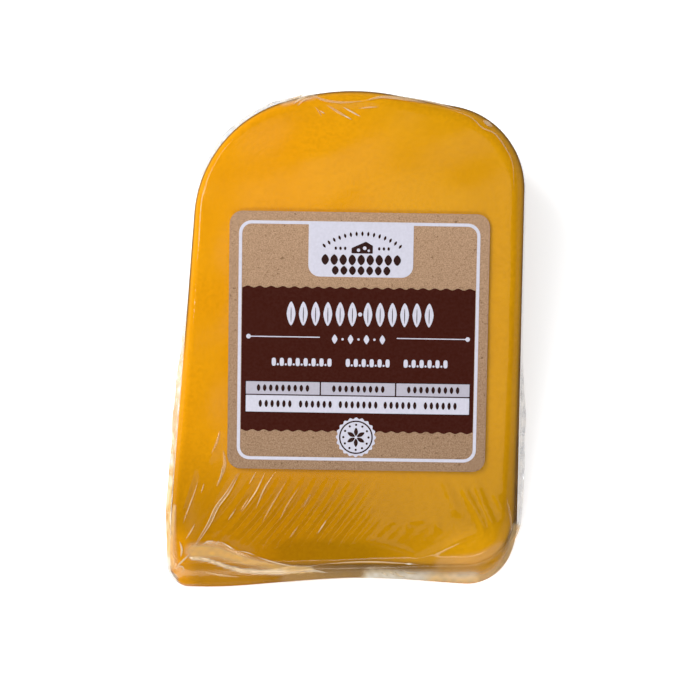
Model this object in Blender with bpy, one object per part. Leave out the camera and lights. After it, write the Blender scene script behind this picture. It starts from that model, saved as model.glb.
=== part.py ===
"""A wedge of smoked Gouda in clear shrink film, with a square paper label on its upper cut face.

The wedge is a slice of a cheese wheel: the wheel's radial profile, turned through a small angle about the
wheel's axis. It lies on one cut face. X runs across the profile, from the wheel's domed side to its flat
side, +Y runs from the thin tip to the rim, and +Z is up. Points on a cut face are given as (x, v), with v
measured up the face.
"""

import math

import bpy
import numpy as np

MM = 0.001

# The slice: its angle, and how far the wheel's axis is from the middle of the profile
WEDGE_ANGLE = math.radians(16.0)
AXIS_TO_MIDDLE = 81.6 * MM

# The middle of the slice's footprint, which becomes the origin: across the profile, and out from the axis
CENTRE_X = -0.5 * MM
CENTRE_Y = 82.4 * MM

# Profile corners, counterclockwise from the domed side of the tip: x, v, fillet radius, points on the
# fillet, points on the straight that follows it
LOWER_TIP_V = -60.5 * MM
UPPER_TIP_V = -55.2 * MM
CORNERS = {
    "tip_dome": (-44.9 * MM, LOWER_TIP_V, 4.6 * MM, 9, 30),
    "tip_flat": (41.5 * MM, LOWER_TIP_V, 12.7 * MM, 13, 26),
    "shoulder_flat": (43.8 * MM, 55.3 * MM, 20.5 * MM, 18, 6),
    "crown": (-1.5 * MM, 63.6 * MM, 54.0 * MM, 13, 0),
    "shoulder_dome": (-36.1 * MM, 53.8 * MM, 31.0 * MM, 20, 32),
}

# Edge radii where the cut faces meet the walls: by corner above, and one size below
UPPER_EDGE = {
    "tip_dome": 1.2 * MM,
    "tip_flat": 5.0 * MM,
    "shoulder_flat": 4.2 * MM,
    "crown": 2.8 * MM,
    "shoulder_dome": 1.6 * MM,
}
EDGE_BLEND = 8.0 * MM
TIP_EDGE_SHARE = 0.55
LOWER_EDGE = 1.6 * MM
LOWER_TIP_EDGE = 1.0 * MM

# The thin tip begins at TIP_START_V. Film draws its middle in, and one lobe of cheese stands out: each is a
# bump, given as depth, x of its middle, and spread
TIP_START_V = -46.0 * MM
TIP_BLEND = 9.0 * MM
TIP_HOLLOW = (2.0 * MM, 4.3 * MM, 23.5 * MM)
TIP_LOBE = (0.4 * MM, -32.0 * MM, 10.5 * MM)

# By the domed corner the tip's edge is rounded over like a lip
LIP_START_X = -8.0 * MM
LIP_BLEND = 12.0 * MM

# The upper face droops towards the tip and is crowned a little in its middle, and the walls bulge a little
DROOP_START_V = -31.0 * MM
DROOP = 2.6 * MM
CROWN_HEIGHT = 0.25 * MM
HALF_WIDTH = 44.0 * MM
HALF_LENGTH = 60.0 * MM
WALL_BULGE = 0.7 * MM

# The film's seam is a narrow fin round the walls, with wider stretches: the middle and half length of each as
# shares of the way round, and what it adds to the width
SEAM_WIDTH = 0.5 * MM
SEAM_STRETCHES = (
    (0.925, 0.105, 0.9 * MM),
    (0.700, 0.060, 0.5 * MM),
    (0.300, 0.075, 0.9 * MM),
)
SEAM_FADE = 1.3
SEAM_HALF_ROOT = 0.55 * MM
SEAM_HALF_EDGE = 0.3 * MM
SEAM_LEVEL = 0.5
SEAM_LEVEL_SHOULDER = 0.72
SEAM_CLIMB = 45.0 * MM

# The label, a thin plate that lies a small gap above the face
LABEL_SIDE = 63.5 * MM
LABEL_CORNER = 3.2 * MM
LABEL_THICKNESS = 0.4 * MM
LABEL_GAP = 0.3 * MM
LABEL_CENTRE = (2.4 * MM, 0.9 * MM)
LABEL_TURN = math.radians(-0.9)
LABEL_CORNER_POINTS = 6
LABEL_SIDE_POINTS = 6
LABEL_RINGS = 4

ROUNDING_STEPS = 4
SHARES_BELOW_SEAM = (1 / 3, 2 / 3)
SHARES_ABOVE_SEAM = (0.4, 0.7, 0.93)
FACE_SCALES = (0.985, 0.965, 0.94, 0.91, 0.87, 0.82, 0.75, 0.6, 0.4, 0.2)
SHARP_EDGE = math.radians(50)


def clear_scene():
    for obj in list(bpy.data.objects):
        bpy.data.objects.remove(obj, do_unlink=True)


def smooth(value):
    """Smoothstep of an array, clipped to 0 to 1."""
    value = np.clip(value, 0, 1)
    return value * value * (3 - 2 * value)


def bump(x, depth, middle, spread):
    """A bell-shaped bump of the given depth over x."""
    return depth * np.exp(-(((x - middle) / spread) ** 2))


def fillet(before, corner, after, radius, count):
    """Points of the arc that rounds a corner, from the side of `before` to the side of `after`."""
    back = (before - corner) / np.linalg.norm(before - corner)
    onward = (after - corner) / np.linalg.norm(after - corner)
    half_opening = math.acos(float(back @ onward)) / 2
    bisector = (back + onward) / np.linalg.norm(back + onward)
    centre = corner + bisector * radius / math.sin(half_opening)
    sweep = math.pi / 2 - half_opening
    across = np.array([-bisector[1], bisector[0]])
    if across @ back < 0:
        across = -across
    angles = np.linspace(sweep, -sweep, count)[:, None]
    return centre + radius * (np.sin(angles) * across - np.cos(angles) * bisector)


def rounded_outline(corners):
    """Closed outline past corners, each given as (x, v), fillet radius, fillet points and straight points."""
    count = len(corners)
    arcs = [
        fillet(corners[i - 1][0], corner, corners[(i + 1) % count][0], radius, arc_points)
        for i, (corner, radius, arc_points, _) in enumerate(corners)
    ]
    pieces = []
    for i, arc in enumerate(arcs):
        share = np.linspace(0, 1, corners[i][3] + 2)[1:-1, None]
        pieces += [arc, arc[-1] + share * (arcs[(i + 1) % count][0] - arc[-1])]
    return np.concatenate(pieces)


def profile(tip_v):
    """Closed outline of the wheel's profile, with the tip's straight side at tip_v."""
    return rounded_outline(
        [
            (np.array([x, tip_v if v == LOWER_TIP_V else v]), radius, arc_points, side_points)
            for x, v, radius, arc_points, side_points in CORNERS.values()
        ]
    )


def way_round(points):
    """Each point's share of the way round the closed outline, from 0 to 1."""
    steps = np.linalg.norm(np.roll(points, -1, axis=0) - points, axis=1)
    return np.concatenate([[0], np.cumsum(steps)[:-1]]) / steps.sum()


def outward(points):
    """Unit normals of a counterclockwise outline."""
    along = np.roll(points, -1, axis=0) - np.roll(points, 1, axis=0)
    along /= np.linalg.norm(along, axis=1)[:, None]
    return np.stack([along[:, 1], -along[:, 0]], axis=1)


def tipness(points):
    """1 on the tip's side of the outline and 0 away from it."""
    return smooth((TIP_START_V - points[:, 1]) / TIP_BLEND)


def edge_radius(points):
    """Radius of the upper edge at each point, a mean of the corners' radii weighted by nearness."""
    weights, total = 0.0, 0.0
    for name, (x, v, *_rest) in CORNERS.items():
        near = 1 / (np.linalg.norm(points - [x, v], axis=1) ** 2 + EDGE_BLEND**2)
        weights = weights + near
        total = total + near * UPPER_EDGE[name]
    return total / weights * (1 + (TIP_EDGE_SHARE - 1) * tipness(points))


def seam_width(share):
    """Width of the seam's fin along the outline: a thin line with wider stretches."""
    width = np.full_like(share, SEAM_WIDTH)
    for middle, half_length, extra in SEAM_STRETCHES:
        away = np.abs((share - middle + 0.5) % 1 - 0.5) / half_length
        width += extra * smooth(SEAM_FADE * (1 - away))
    return width


def seam_level(points):
    """Height of the seam as a share of the wall: it climbs towards the domed shoulder."""
    shoulder = np.array(CORNERS["shoulder_dome"][:2])
    near = smooth(1 - np.linalg.norm(points - shoulder, axis=1) / SEAM_CLIMB)
    return SEAM_LEVEL + (SEAM_LEVEL_SHOULDER - SEAM_LEVEL) * near


def radial(points):
    """How far each point is from the wheel's axis."""
    return AXIS_TO_MIDDLE + points[:, 1]


def face_drop(points):
    """How far the upper face lies under its cut plane: it crowns in the middle and droops to the tip."""
    x, v = points.T
    reach = np.maximum((DROOP_START_V - v) / (DROOP_START_V - UPPER_TIP_V), 0)
    return DROOP * reach**2 + CROWN_HEIGHT * ((x / HALF_WIDTH) ** 2 + (v / HALF_LENGTH) ** 2)


def top_angle(points, below=0.0):
    """Angle of the upper face over each point, less a depth below it."""
    return WEDGE_ANGLE - (face_drop(points) + below) / radial(points)


def to_space(points, angle):
    """Turns (x, v) points through an angle about the wheel's axis, from the lower cut face."""
    distance = radial(points)
    return np.stack(
        [points[:, 0] - CENTRE_X, distance * np.cos(angle) - CENTRE_Y, distance * np.sin(angle)], axis=1
    )


def lower_outline():
    """The profile at the lower cut face, drawn in at the middle of the tip, with one lobe standing out."""
    points = profile(LOWER_TIP_V)
    out = tipness(points) * (bump(points[:, 0], *TIP_LOBE) - bump(points[:, 0], *TIP_HOLLOW))
    return points + outward(points) * out[:, None]


def inset_share(points, level):
    """How far the wall has moved in from the lower outline to the upper one at a share of its height: an
    S-curve, or on the lip a quarter round, 1 - sqrt(1 - level squared)."""
    lip = smooth((LIP_START_X - points[:, 0]) / LIP_BLEND) * tipness(points)
    quarter_round = 1 - np.sqrt(1 - np.clip(level, 0, 1) ** 2)
    return smooth(level) * (1 - lip) + quarter_round * lip


def lower_edge_rings(low):
    """Rings of the rounding between the underside and the walls, as quarter circles."""
    normal = outward(low)
    radius = LOWER_EDGE + (LOWER_TIP_EDGE - LOWER_EDGE) * tipness(low)
    rings = []
    for turn in np.linspace(0, math.pi / 2, ROUNDING_STEPS):
        points = low - normal * (radius * (1 - math.sin(turn)))[:, None]
        rings.append(to_space(points, radius * (1 - math.cos(turn)) / radial(points)))
    return rings, radius


def upper_edge_rings(high):
    """Rings of the rounding between the walls and the upper face, as quarter circles."""
    normal = outward(high)
    radius = edge_radius(high)
    rings = []
    for turn in np.linspace(0, math.pi / 2, ROUNDING_STEPS + 1):
        points = high - normal * (radius * (1 - math.cos(turn)))[:, None]
        rings.append(to_space(points, top_angle(points, radius * (1 - math.sin(turn)))))
    return rings, radius


def wall_rings(low, high, low_radius, high_radius):
    """Rings up the bulging wall, with the seam's fin standing out of it."""
    normal = outward(low)
    flatness = 1 - tipness(low)
    fin = seam_width(way_round(low))
    seam = seam_level(low)

    def ring(level, rise=0.0, out=0.0):
        proud = out + WALL_BULGE * np.sin(math.pi * level) * flatness
        points = low + (high - low) * inset_share(low, level)[:, None] + normal * proud[:, None]
        start = low_radius / radial(points)
        end = top_angle(points) - high_radius / radial(points)
        return to_space(points, start + (end - start) * level + rise / radial(points))

    below = [ring(seam * share) for share in SHARES_BELOW_SEAM]
    above = [ring(seam + (1 - seam) * share) for share in SHARES_ABOVE_SEAM]
    root_and_edge = (
        (-SEAM_HALF_ROOT, 0.0),
        (-SEAM_HALF_EDGE, 1.0),
        (SEAM_HALF_EDGE, 1.0),
        (SEAM_HALF_ROOT, 0.0),
    )
    seam_rings = [ring(seam, rise, fin * share) for rise, share in root_and_edge]
    return below + seam_rings + above


def face_rings(rim):
    """Rings on the upper face, drawn in from its rim towards its middle."""
    middle = rim.mean(axis=0)
    outlines = [middle + scale * (rim - middle) for scale in FACE_SCALES]
    return [to_space(outline, top_angle(outline)) for outline in outlines]


def skin(name, rings):
    """A closed mesh over a stack of rings, bottom first, with a flat face at each end."""
    count = len(rings[0])
    around = np.arange(count)
    onward = (around + 1) % count
    faces = [around[::-1].tolist()]
    for k in range(len(rings) - 1):
        low, high = k * count, (k + 1) * count
        faces += np.stack([low + around, low + onward, high + onward, high + around], axis=1).tolist()
    faces.append(((len(rings) - 1) * count + around).tolist())
    mesh = bpy.data.meshes.new(name)
    mesh.from_pydata(np.concatenate(rings).tolist(), [], faces)
    mesh.update()
    mesh.shade_smooth()
    mesh.set_sharp_from_angle(angle=SHARP_EDGE)
    return mesh


def wedge_mesh():
    """The cheese and the film sealed tightly round it, as one solid."""
    low = lower_outline()
    high = profile(UPPER_TIP_V)
    low_rings, low_radius = lower_edge_rings(low)
    high_rings, high_radius = upper_edge_rings(high)
    rim = high - outward(high) * high_radius[:, None]
    walls = wall_rings(low, high, low_radius, high_radius)
    return skin("wrapped_wedge", low_rings + walls + high_rings + face_rings(rim))


def label_outline(inset):
    """The label's rounded square as (x, v) points on the upper face, drawn in by inset."""
    half = LABEL_SIDE / 2
    corners = [
        (np.array(way) * half, LABEL_CORNER, LABEL_CORNER_POINTS, LABEL_SIDE_POINTS)
        for way in ((-1, -1), (1, -1), (1, 1), (-1, 1))
    ]
    outline = rounded_outline(corners) * (1 - inset / half)
    cos, sin = math.cos(LABEL_TURN), math.sin(LABEL_TURN)
    return outline @ np.array([[cos, sin], [-sin, cos]]) + np.array(LABEL_CENTRE)


def label_mesh():
    """The label as a thin plate that follows the upper face, a small gap above it."""
    outlines = [label_outline(LABEL_SIDE / 2 * step / LABEL_RINGS) for step in range(LABEL_RINGS)]
    under = [to_space(points, top_angle(points, -LABEL_GAP)) for points in outlines]
    over = [to_space(points, top_angle(points, -LABEL_GAP - LABEL_THICKNESS)) for points in outlines]
    return skin("label", under[::-1] + over)


def finish(name, colour, roughness, metallic=0.0):
    material = bpy.data.materials.new(name)
    material.use_nodes = True
    shader = material.node_tree.nodes["Principled BSDF"]
    shader.inputs["Base Color"].default_value = (*colour, 1.0)
    shader.inputs["Roughness"].default_value = roughness
    shader.inputs["Metallic"].default_value = metallic
    return material


def add_node(mesh, material):
    obj = bpy.data.objects.new(mesh.name, mesh)
    bpy.context.scene.collection.objects.link(obj)
    mesh.materials.append(material)


def main():
    clear_scene()
    add_node(wedge_mesh(), finish("smoked_gouda_in_film", (0.78, 0.33, 0.015), 0.25))
    add_node(label_mesh(), finish("kraft_paper", (0.45, 0.29, 0.18), 0.75))


main()
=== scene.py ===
"""The looks of a shrink-wrapped wedge of smoked Gouda with a square kraft label.

Three things replace the frame's plain solids: the cheese, the clear film drawn tightly round it with its
folds and seam, and the paper label with its print. Points on a cut face are (x, v), with v measured up the
face from the thin tip to the rim, and to_space puts them into the frame. Everything is in metres, apart from
the tables that say millimetres.
"""

import math

import bpy
import numpy as np
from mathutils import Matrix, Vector


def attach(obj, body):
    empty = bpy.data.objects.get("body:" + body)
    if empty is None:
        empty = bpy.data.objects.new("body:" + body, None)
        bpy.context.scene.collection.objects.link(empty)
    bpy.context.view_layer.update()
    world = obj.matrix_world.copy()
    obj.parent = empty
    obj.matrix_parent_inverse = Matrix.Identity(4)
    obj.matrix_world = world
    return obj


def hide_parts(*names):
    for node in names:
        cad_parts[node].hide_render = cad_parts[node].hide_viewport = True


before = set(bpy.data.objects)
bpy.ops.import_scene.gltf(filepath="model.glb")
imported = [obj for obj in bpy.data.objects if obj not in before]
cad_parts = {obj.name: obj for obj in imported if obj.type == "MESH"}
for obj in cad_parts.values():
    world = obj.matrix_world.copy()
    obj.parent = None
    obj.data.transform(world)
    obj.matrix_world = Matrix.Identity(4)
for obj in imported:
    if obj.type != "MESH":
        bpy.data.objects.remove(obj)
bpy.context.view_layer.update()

MM = 0.001

# The slice of the wheel, its profile and its edges, as the frame's solids have them
WEDGE_ANGLE = math.radians(16.0)
AXIS_TO_MIDDLE = 81.6 * MM
CENTRE_X = -0.5 * MM
CENTRE_Y = 82.4 * MM
LOWER_TIP_V = -60.5 * MM
UPPER_TIP_V = -55.2 * MM
CORNERS = {
    "tip_dome": (-44.9 * MM, LOWER_TIP_V, 4.6 * MM),
    "tip_flat": (41.5 * MM, LOWER_TIP_V, 12.7 * MM),
    "shoulder_flat": (43.8 * MM, 55.3 * MM, 20.5 * MM),
    "crown": (-1.5 * MM, 63.6 * MM, 54.0 * MM),
    "shoulder_dome": (-36.1 * MM, 53.8 * MM, 31.0 * MM),
}
UPPER_EDGE = {
    "tip_dome": 1.2 * MM,
    "tip_flat": 5.0 * MM,
    "shoulder_flat": 4.2 * MM,
    "crown": 2.8 * MM,
    "shoulder_dome": 1.6 * MM,
}
EDGE_BLEND = 8.0 * MM
TIP_EDGE_SHARE = 0.55
LOWER_EDGE = 1.6 * MM
LOWER_TIP_EDGE = 1.0 * MM
TIP_START_V = -46.0 * MM
TIP_BLEND = 9.0 * MM
TIP_HOLLOW = (2.0 * MM, 4.3 * MM, 23.5 * MM)
TIP_LOBE = (0.4 * MM, -32.0 * MM, 10.5 * MM)
DROOP_START_V = -31.0 * MM
DROOP = 2.6 * MM
CROWN_HEIGHT = 0.25 * MM
HALF_WIDTH = 44.0 * MM
HALF_LENGTH = 60.0 * MM
WALL_BULGE = 0.7 * MM

# The seam's fin: its width, its wider stretches as (middle, half length, extra width) with the first two as
# shares of the way round, half its thickness at its root, and its level up the wall, higher by the shoulder
SEAM_WIDTH = 0.5 * MM
SEAM_STRETCHES = (
    (0.925, 0.105, 0.9 * MM),
    (0.700, 0.060, 0.5 * MM),
    (0.300, 0.075, 0.9 * MM),
)
SEAM_FADE = 1.3
SEAM_HALF_ROOT = 0.55 * MM
SEAM_LEVEL = 0.5
SEAM_LEVEL_SHOULDER = 0.72
SEAM_CLIMB = 45.0 * MM

# Along the tip most of the fin's width is folded away, but not at the domed corner
TIP_SEAM_HIDDEN = 0.85
TIP_SEAM_SPAN = (-42, 10)

# How uneven the fin's width is, and how it sways up and down at its edge: (amount, length of the waves)
FIN_UNEVEN = (0.08, 9 * MM)
FIN_SWAY = ((0.3 * MM, 16 * MM), (0.16 * MM, 3.2 * MM))
FIN_SWAY_WIDTH = 2 * MM

# Rings of the underside and of the upper face, as shares of their edges, close together outside the label;
# and how many rings from the first on the hazy patches leave out
UNDERSIDE_SCALES = (0.08, 0.35, 0.62, 0.82, 0.94)
FACE_SCALES = (*np.linspace(1, 0.56, 56), 0.5, 0.42, 0.3, 0.12, 0.02)
UNDERSIDE_RINGS = 8

# By the domed corner the tip's edge is rounded over like a lip
LIP_START_X = -8.0 * MM
LIP_BLEND = 12.0 * MM

# Film: distance between points, the gap to the cheese, its gloss seen straight on and the gloss that glancing
# angles add, and how thin the seam's edge is
FILM_STEP = 0.46 * MM
FILM_GAP = 0.18 * MM
FILM_GLOSS = 0.04
GLANCING_GLOSS = 0.03
SEAM_EDGE = 0.08 * MM

# Colours of hazy film from white, away from the cheese, to warm, where it takes the cheese's tone
HAZE_COLOURS = [(0.0, (0.88, 0.91, 0.95)), (0.35, (0.95, 0.82, 0.60)), (1.0, (1.0, 0.57, 0.11))]

# Haze and warmth of the film on the walls and along the thin seam, and the share of them at the seam's root
WALL_HAZE = 0.008
WALL_WARMTH = 0.5
SEAM_HAZE = 0.02
SEAM_WARMTH = 0.3
SEAM_ROOT_HAZE = 0.5

# Looks of the seam's wide stretches, as (v up the wedge in millimetres, haze, warmth), and how sharply a
# stretch's ends fade
STRETCH_LOOKS = (
    (
        (-58, 0.55, 0.05), (-53, 0.8, 0.85), (-40, 0.85, 0.85), (-32, 0.85, 0.5), (-24, 0.75, 0.5),
        (-10, 0.5, 0.6),
    ),
    ((0, 0.40, 0.0),),
    ((0, 0.2, 0.0),),
)
STRETCH_EDGE = 2.2

# How uneven the haze is: crinkles that run up and down along the seam, and mottles on the patches
CRINKLES = 0.24
CRINKLE_LENGTH = 2.4 * MM
CRINKLE_DRAW = (1.6, 0.35, 1.6)
MOTTLE = 0.07
MOTTLE_LENGTH = 1.9 * MM

# A span is (start, length) in millimetres along x or v: where a tone or a form comes in, and over what length.
# With a negative length it comes in to the left or down.

# The rind ends where the tip was cut, but goes on round its flat corner and in a thin rim at its foot
RIND_CORNER = (27, 10)
RIND_RIM = (0, 2)

# The rind gives way to the face low on the rounded edge
RIND_END = 0.75
RIND_FADE = 2.0

# The domed side's lower end has no rind above a share of its height
PALE_SIDE_X = (-30, -8)
PALE_SIDE_V = (10, -20)
PALE_WALL = 0.3
PALE_WALL_BLEND = 0.15

# Painted shade on the face: darker all the way down it, at the tip, low in its middle and at the rim
DOWN_FACE_SHADE, DOWN_SPAN = 0.2, (50, -80)
TIP_FACE_SHADE, TIP_SPAN = 0.59, (-16, -28)
LOW_FACE_SHADE, LOW_SPAN, LOW_LEFT, LOW_RIGHT = 0.3, (-47, -4), (-22, 10), (18, -16)
RIM_FACE_SHADE, RIM_SPAN = 0.12, (50, 9)

# The painted shade at the tip eases towards the flat side, and eases more at its two corners
RIGHT_SHADE_EASE, RIGHT_SPAN = 0.55, (-8, 36)
CORNER_SHADE_EASE, CORNER_V, DOMED_CORNER, FLAT_CORNER = 0.75, (-43, -7), (-37, -5), (20, 10)

# Painted shade in the rind's brown on the wall of the tip, about a middle, and painted shade towards the flat
# side, which takes more red than green
TIP_SHADE, TIP_SHADE_X, TIP_SHADE_SPREAD = 0.85, 5 * MM, 22 * MM
SIDE_SHADE_SPAN = (-25, 65)

# Label
LABEL_SIDE = 63.5 * MM
LABEL_CORNER = 3.2 * MM
LABEL_GAP = 0.3 * MM
LABEL_THICKNESS = 0.16 * MM
LABEL_CENTRE = np.array([2.4, 0.9]) * MM
LABEL_TURN = math.radians(-0.9)

# Heights of the inks over the paper, one on top of the other
INK = 0.02 * MM
FIELD, FIGURE, STRIP, MARK, DETAIL = (INK * layer for layer in (1, 2, 3, 4, 5))

# The print: the line round the label, the brown band, and the left, top, right and bottom of its panels
LINE_INSET = 2.3 * MM
LINE_WIDTH = 0.78 * MM
LINE_RADIUS = 3.1 * MM
BAND_LEFT = 3.2 * MM
BAND_RIGHT = 60.3 * MM
BAND_TOP = 18.7 * MM
BAND_BOTTOM = 53.7 * MM
SCALLOPS = 20
SCALLOP_DEPTH = 0.45 * MM
PLAQUE = (19.3 * MM, 2.5 * MM, 44.9 * MM, 15.8 * MM)
STRIP_BACK = (4.2 * MM, 41.6 * MM, 59.5 * MM, 49.5 * MM)
SEAL = (31.6, 55.3)


def smooth(value):
    """Smoothstep of an array, clipped to 0 to 1."""
    value = np.clip(value, 0, 1)
    return value * value * (3 - 2 * value)


def come_in(places, span):
    """0 before a span's start and 1 past its end, for a span of (start, length) in millimetres."""
    start, length = span
    return smooth((places - start * MM) / (length * MM))


def bump(x, depth, middle, spread):
    """A bell-shaped bump of the given depth over x."""
    return depth * np.exp(-(((x - middle) / spread) ** 2))


def fillet(before, corner, after, radius, count):
    """Points of the arc that rounds a corner: centre + radius * (sin(a) across - cos(a) bisector)."""
    back = (before - corner) / np.linalg.norm(before - corner)
    onward = (after - corner) / np.linalg.norm(after - corner)
    half_opening = math.acos(float(back @ onward)) / 2
    bisector = (back + onward) / np.linalg.norm(back + onward)
    centre = corner + bisector * radius / math.sin(half_opening)
    sweep = math.pi / 2 - half_opening
    across = np.array([-bisector[1], bisector[0]])
    if across @ back < 0:
        across = -across
    angles = np.linspace(sweep, -sweep, count)[:, None]
    return centre + radius * (np.sin(angles) * across - np.cos(angles) * bisector)


def rounded_outline(corners, radii, counts):
    """Closed outline past corners: an arc at each, and a straight from it to the next arc."""
    number = len(corners)
    arcs = [
        fillet(corners[i - 1], corners[i], corners[(i + 1) % number], radii[i], counts[i][0])
        for i in range(number)
    ]
    pieces = []
    for i, arc in enumerate(arcs):
        share = np.linspace(0, 1, counts[i][1] + 2)[1:-1, None]
        pieces += [arc, arc[-1] + share * (arcs[(i + 1) % number][0] - arc[-1])]
    return np.concatenate(pieces)


def point_counts(corners, radii, step):
    """How many points each arc and the straight after it need, one to each step of length."""
    ends = np.full((len(corners), 2), 2)
    arcs = [
        fillet(corners[i - 1], corners[i], corners[(i + 1) % len(corners)], radii[i], 9)
        for i in range(len(corners))
    ]
    for i, arc in enumerate(arcs):
        length = np.linalg.norm(np.diff(arc, axis=0), axis=1).sum()
        straight = np.linalg.norm(arcs[(i + 1) % len(arcs)][0] - arc[-1])
        ends[i] = max(3, round(length / step)), max(0, round(straight / step) - 1)
    return ends.tolist()


def profile(tip_v, step):
    """Closed outline of the wheel's profile, with the tip's straight side at tip_v."""
    radii = [radius for _, _, radius in CORNERS.values()]
    lower = [np.array([x, v]) for x, v, _ in CORNERS.values()]
    moved = [np.array([x, tip_v if v == LOWER_TIP_V else v]) for x, v, _ in CORNERS.values()]
    return rounded_outline(moved, radii, point_counts(lower, radii, step))


def way_round(points):
    """Each point's share of the way round the closed outline, from 0 to 1."""
    steps = np.linalg.norm(np.roll(points, -1, axis=0) - points, axis=1)
    return np.concatenate([[0], np.cumsum(steps)[:-1]]) / steps.sum()


def outward(points):
    """Unit normals of a counterclockwise outline."""
    along = np.roll(points, -1, axis=0) - np.roll(points, 1, axis=0)
    along /= np.linalg.norm(along, axis=1)[:, None]
    return np.stack([along[:, 1], -along[:, 0]], axis=1)


def tipness(points):
    """1 on the tip's side of the outline and 0 away from it."""
    return smooth((TIP_START_V - points[..., 1]) / TIP_BLEND)


def edge_radius(points):
    """Radius of the upper edge at each point, a mean of the corners' radii weighted by nearness."""
    weights, total = 0.0, 0.0
    for name, (x, v, _) in CORNERS.items():
        near = 1 / (np.linalg.norm(points - [x, v], axis=1) ** 2 + EDGE_BLEND**2)
        weights = weights + near
        total = total + near * UPPER_EDGE[name]
    return total / weights * (1 + (TIP_EDGE_SHARE - 1) * tipness(points))


def seam_width(share):
    """Width of the seam's fin along the outline: a thin line with wider stretches."""
    width = np.full_like(share, SEAM_WIDTH)
    for middle, half_length, extra in SEAM_STRETCHES:
        away = np.abs((share - middle + 0.5) % 1 - 0.5) / half_length
        width += extra * smooth(SEAM_FADE * (1 - away))
    return width


def seam_level(points):
    """Height of the seam as a share of the wall: it climbs towards the domed shoulder."""
    shoulder = np.array(CORNERS["shoulder_dome"][:2])
    near = smooth(1 - np.linalg.norm(points - shoulder, axis=1) / SEAM_CLIMB)
    return SEAM_LEVEL + (SEAM_LEVEL_SHOULDER - SEAM_LEVEL) * near


def radial(points):
    """How far each point is from the wheel's axis."""
    return AXIS_TO_MIDDLE + points[..., 1]


def face_drop(points):
    """How far the upper face lies under its cut plane: it crowns in the middle and droops to the tip."""
    x, v = points[..., 0], points[..., 1]
    reach = np.maximum((DROOP_START_V - v) / (DROOP_START_V - UPPER_TIP_V), 0)
    return DROOP * reach**2 + CROWN_HEIGHT * ((x / HALF_WIDTH) ** 2 + (v / HALF_LENGTH) ** 2)


def top_angle(points, below=0.0):
    """Angle of the upper face over each point, less a depth below it."""
    return WEDGE_ANGLE - (face_drop(points) + below) / radial(points)


def to_space(points, angle):
    """Turns (x, v) points through an angle about the wheel's axis, from the lower cut face."""
    distance = radial(points)
    return np.stack(
        [points[..., 0] - CENTRE_X, distance * np.cos(angle) - CENTRE_Y, distance * np.sin(angle)], axis=-1
    )


def lower_outline(step):
    """The profile at the lower cut face, drawn in at the middle of the tip, with one lobe standing out."""
    points = profile(LOWER_TIP_V, step)
    out = tipness(points) * (bump(points[:, 0], *TIP_LOBE) - bump(points[:, 0], *TIP_HOLLOW))
    return points + outward(points) * out[:, None]


def lip_share(x):
    """1 by the domed corner, where the tip's edge is rounded over, and 0 along the rest of the tip."""
    return smooth((LIP_START_X - x) / LIP_BLEND)


def inset_share(points, level):
    """How far the wall has moved in from the lower outline to the upper one at a share of its height: an
    S-curve, or on the lip a quarter round, 1 - sqrt(1 - level squared)."""
    lip = lip_share(points[:, 0]) * tipness(points)
    quarter_round = 1 - np.sqrt(1 - np.clip(level, 0, 1) ** 2)
    return smooth(level) * (1 - lip) + quarter_round * lip


def waves(places, length, seed, count=10):
    """Smooth noise of about unit height: a mean of sine waves of the given length in seeded directions."""
    draw = np.random.default_rng(seed)
    ways = draw.normal(size=(count, places.shape[-1]))
    ways *= (draw.uniform(0.6, 1.5, count) / length / np.linalg.norm(ways, axis=1))[:, None]
    phases = draw.uniform(0, 2 * math.pi, count)
    return np.sin(2 * math.pi * places @ ways.T + phases).sum(axis=-1) / math.sqrt(count / 2)


def curve_points(path, count=40):
    """A smooth curve through the path's points, by Catmull-Rom pieces."""
    path = np.asarray(path, float) * MM
    padded = np.concatenate([[2 * path[0] - path[1]], path, [2 * path[-1] - path[-2]]])
    t = np.linspace(0, len(path) - 1 - 1e-9, count)
    k = t.astype(int)
    f = (t - k)[:, None]
    a, b, c, d = (padded[k + i] for i in range(4))
    return 0.5 * (2 * b + (c - a) * f + (2 * a - 5 * b + 4 * c - d) * f**2 + (3 * b - a - 3 * c + d) * f**3)


def along_curve(places, path, reach):
    """For points near a path: which ones, their share along it, and their signed distance from it."""
    curve = curve_points(path)
    low, high = curve.min(axis=0) - reach, curve.max(axis=0) + reach
    near = np.nonzero(((places > low) & (places < high)).all(axis=-1))
    spots = places[near]
    start, step = curve[:-1], np.diff(curve, axis=0)
    length = (step**2).sum(axis=1)
    offset = spots[:, None] - start
    share = np.clip((offset * step).sum(axis=2) / length, 0, 1)
    gap = offset - share[..., None] * step
    away = (gap**2).sum(axis=2)
    best = away.argmin(axis=1)
    row = np.arange(len(spots))
    side = np.sign(step[best, 0] * gap[row, best, 1] - step[best, 1] * gap[row, best, 0])
    along = (best + share[row, best]) / len(step)
    return near, along, side * np.sqrt(away[row, best])


def add_fold(height, places, path, rise, width):
    """Adds a soft ridge along a path: rise * sech(distance / width) squared, tapered at its ends."""
    near, along, away = along_curve(places, path, 5 * width * MM)
    ends = smooth(along / FOLD_TAPER) * smooth((1 - along) / FOLD_TAPER)
    height[near] += rise * MM * ends / np.cosh(away / (width * MM)) ** 2


def patch(places, path, start_width, end_width):
    """1 near a path and 0 past its half width, which changes from one end to the other, with soft edges."""
    value = np.zeros(places.shape[:-1])
    widest = max(start_width, end_width) * MM
    near, along, away = along_curve(places, path, widest)
    width = (start_width + (end_width - start_width) * along) * MM
    value[near] = smooth(PATCH_EDGE * (1 - np.abs(away) / width))
    return value


SHARP_EDGE = math.radians(60)


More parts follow.
